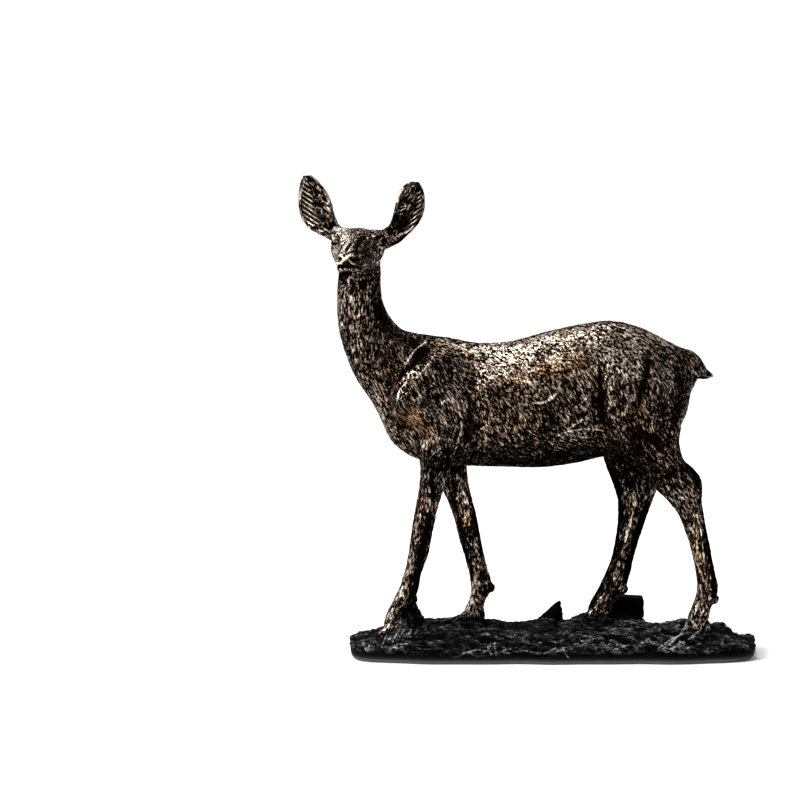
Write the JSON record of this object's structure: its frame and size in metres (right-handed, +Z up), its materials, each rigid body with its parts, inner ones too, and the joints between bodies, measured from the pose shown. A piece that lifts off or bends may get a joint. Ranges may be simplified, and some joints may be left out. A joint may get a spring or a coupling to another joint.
{
  "type": "bronze deer sculpture",
  "caption": "Standing doe sculpture in dark bronze, head turned to the side, ears raised, walking on a low slab of rough black rock.",
  "frame": {"origin": "middle of the slab's flat underside", "axes": "+Z up; the doe walks towards -X along the slab's length, and turns its head to look along -Y"},
  "size_m": [0.3218, 0.1025, 0.3405],
  "materials": {
    "bronze": "dark brown patina with rubbed golden high points on carved hair",
    "black_rock": "rough rock in semi-gloss black"
  },
  "bodies": {
    "root": {"doe": "bronze", "rock_base": "black_rock"}
  },
  "joints": []
}
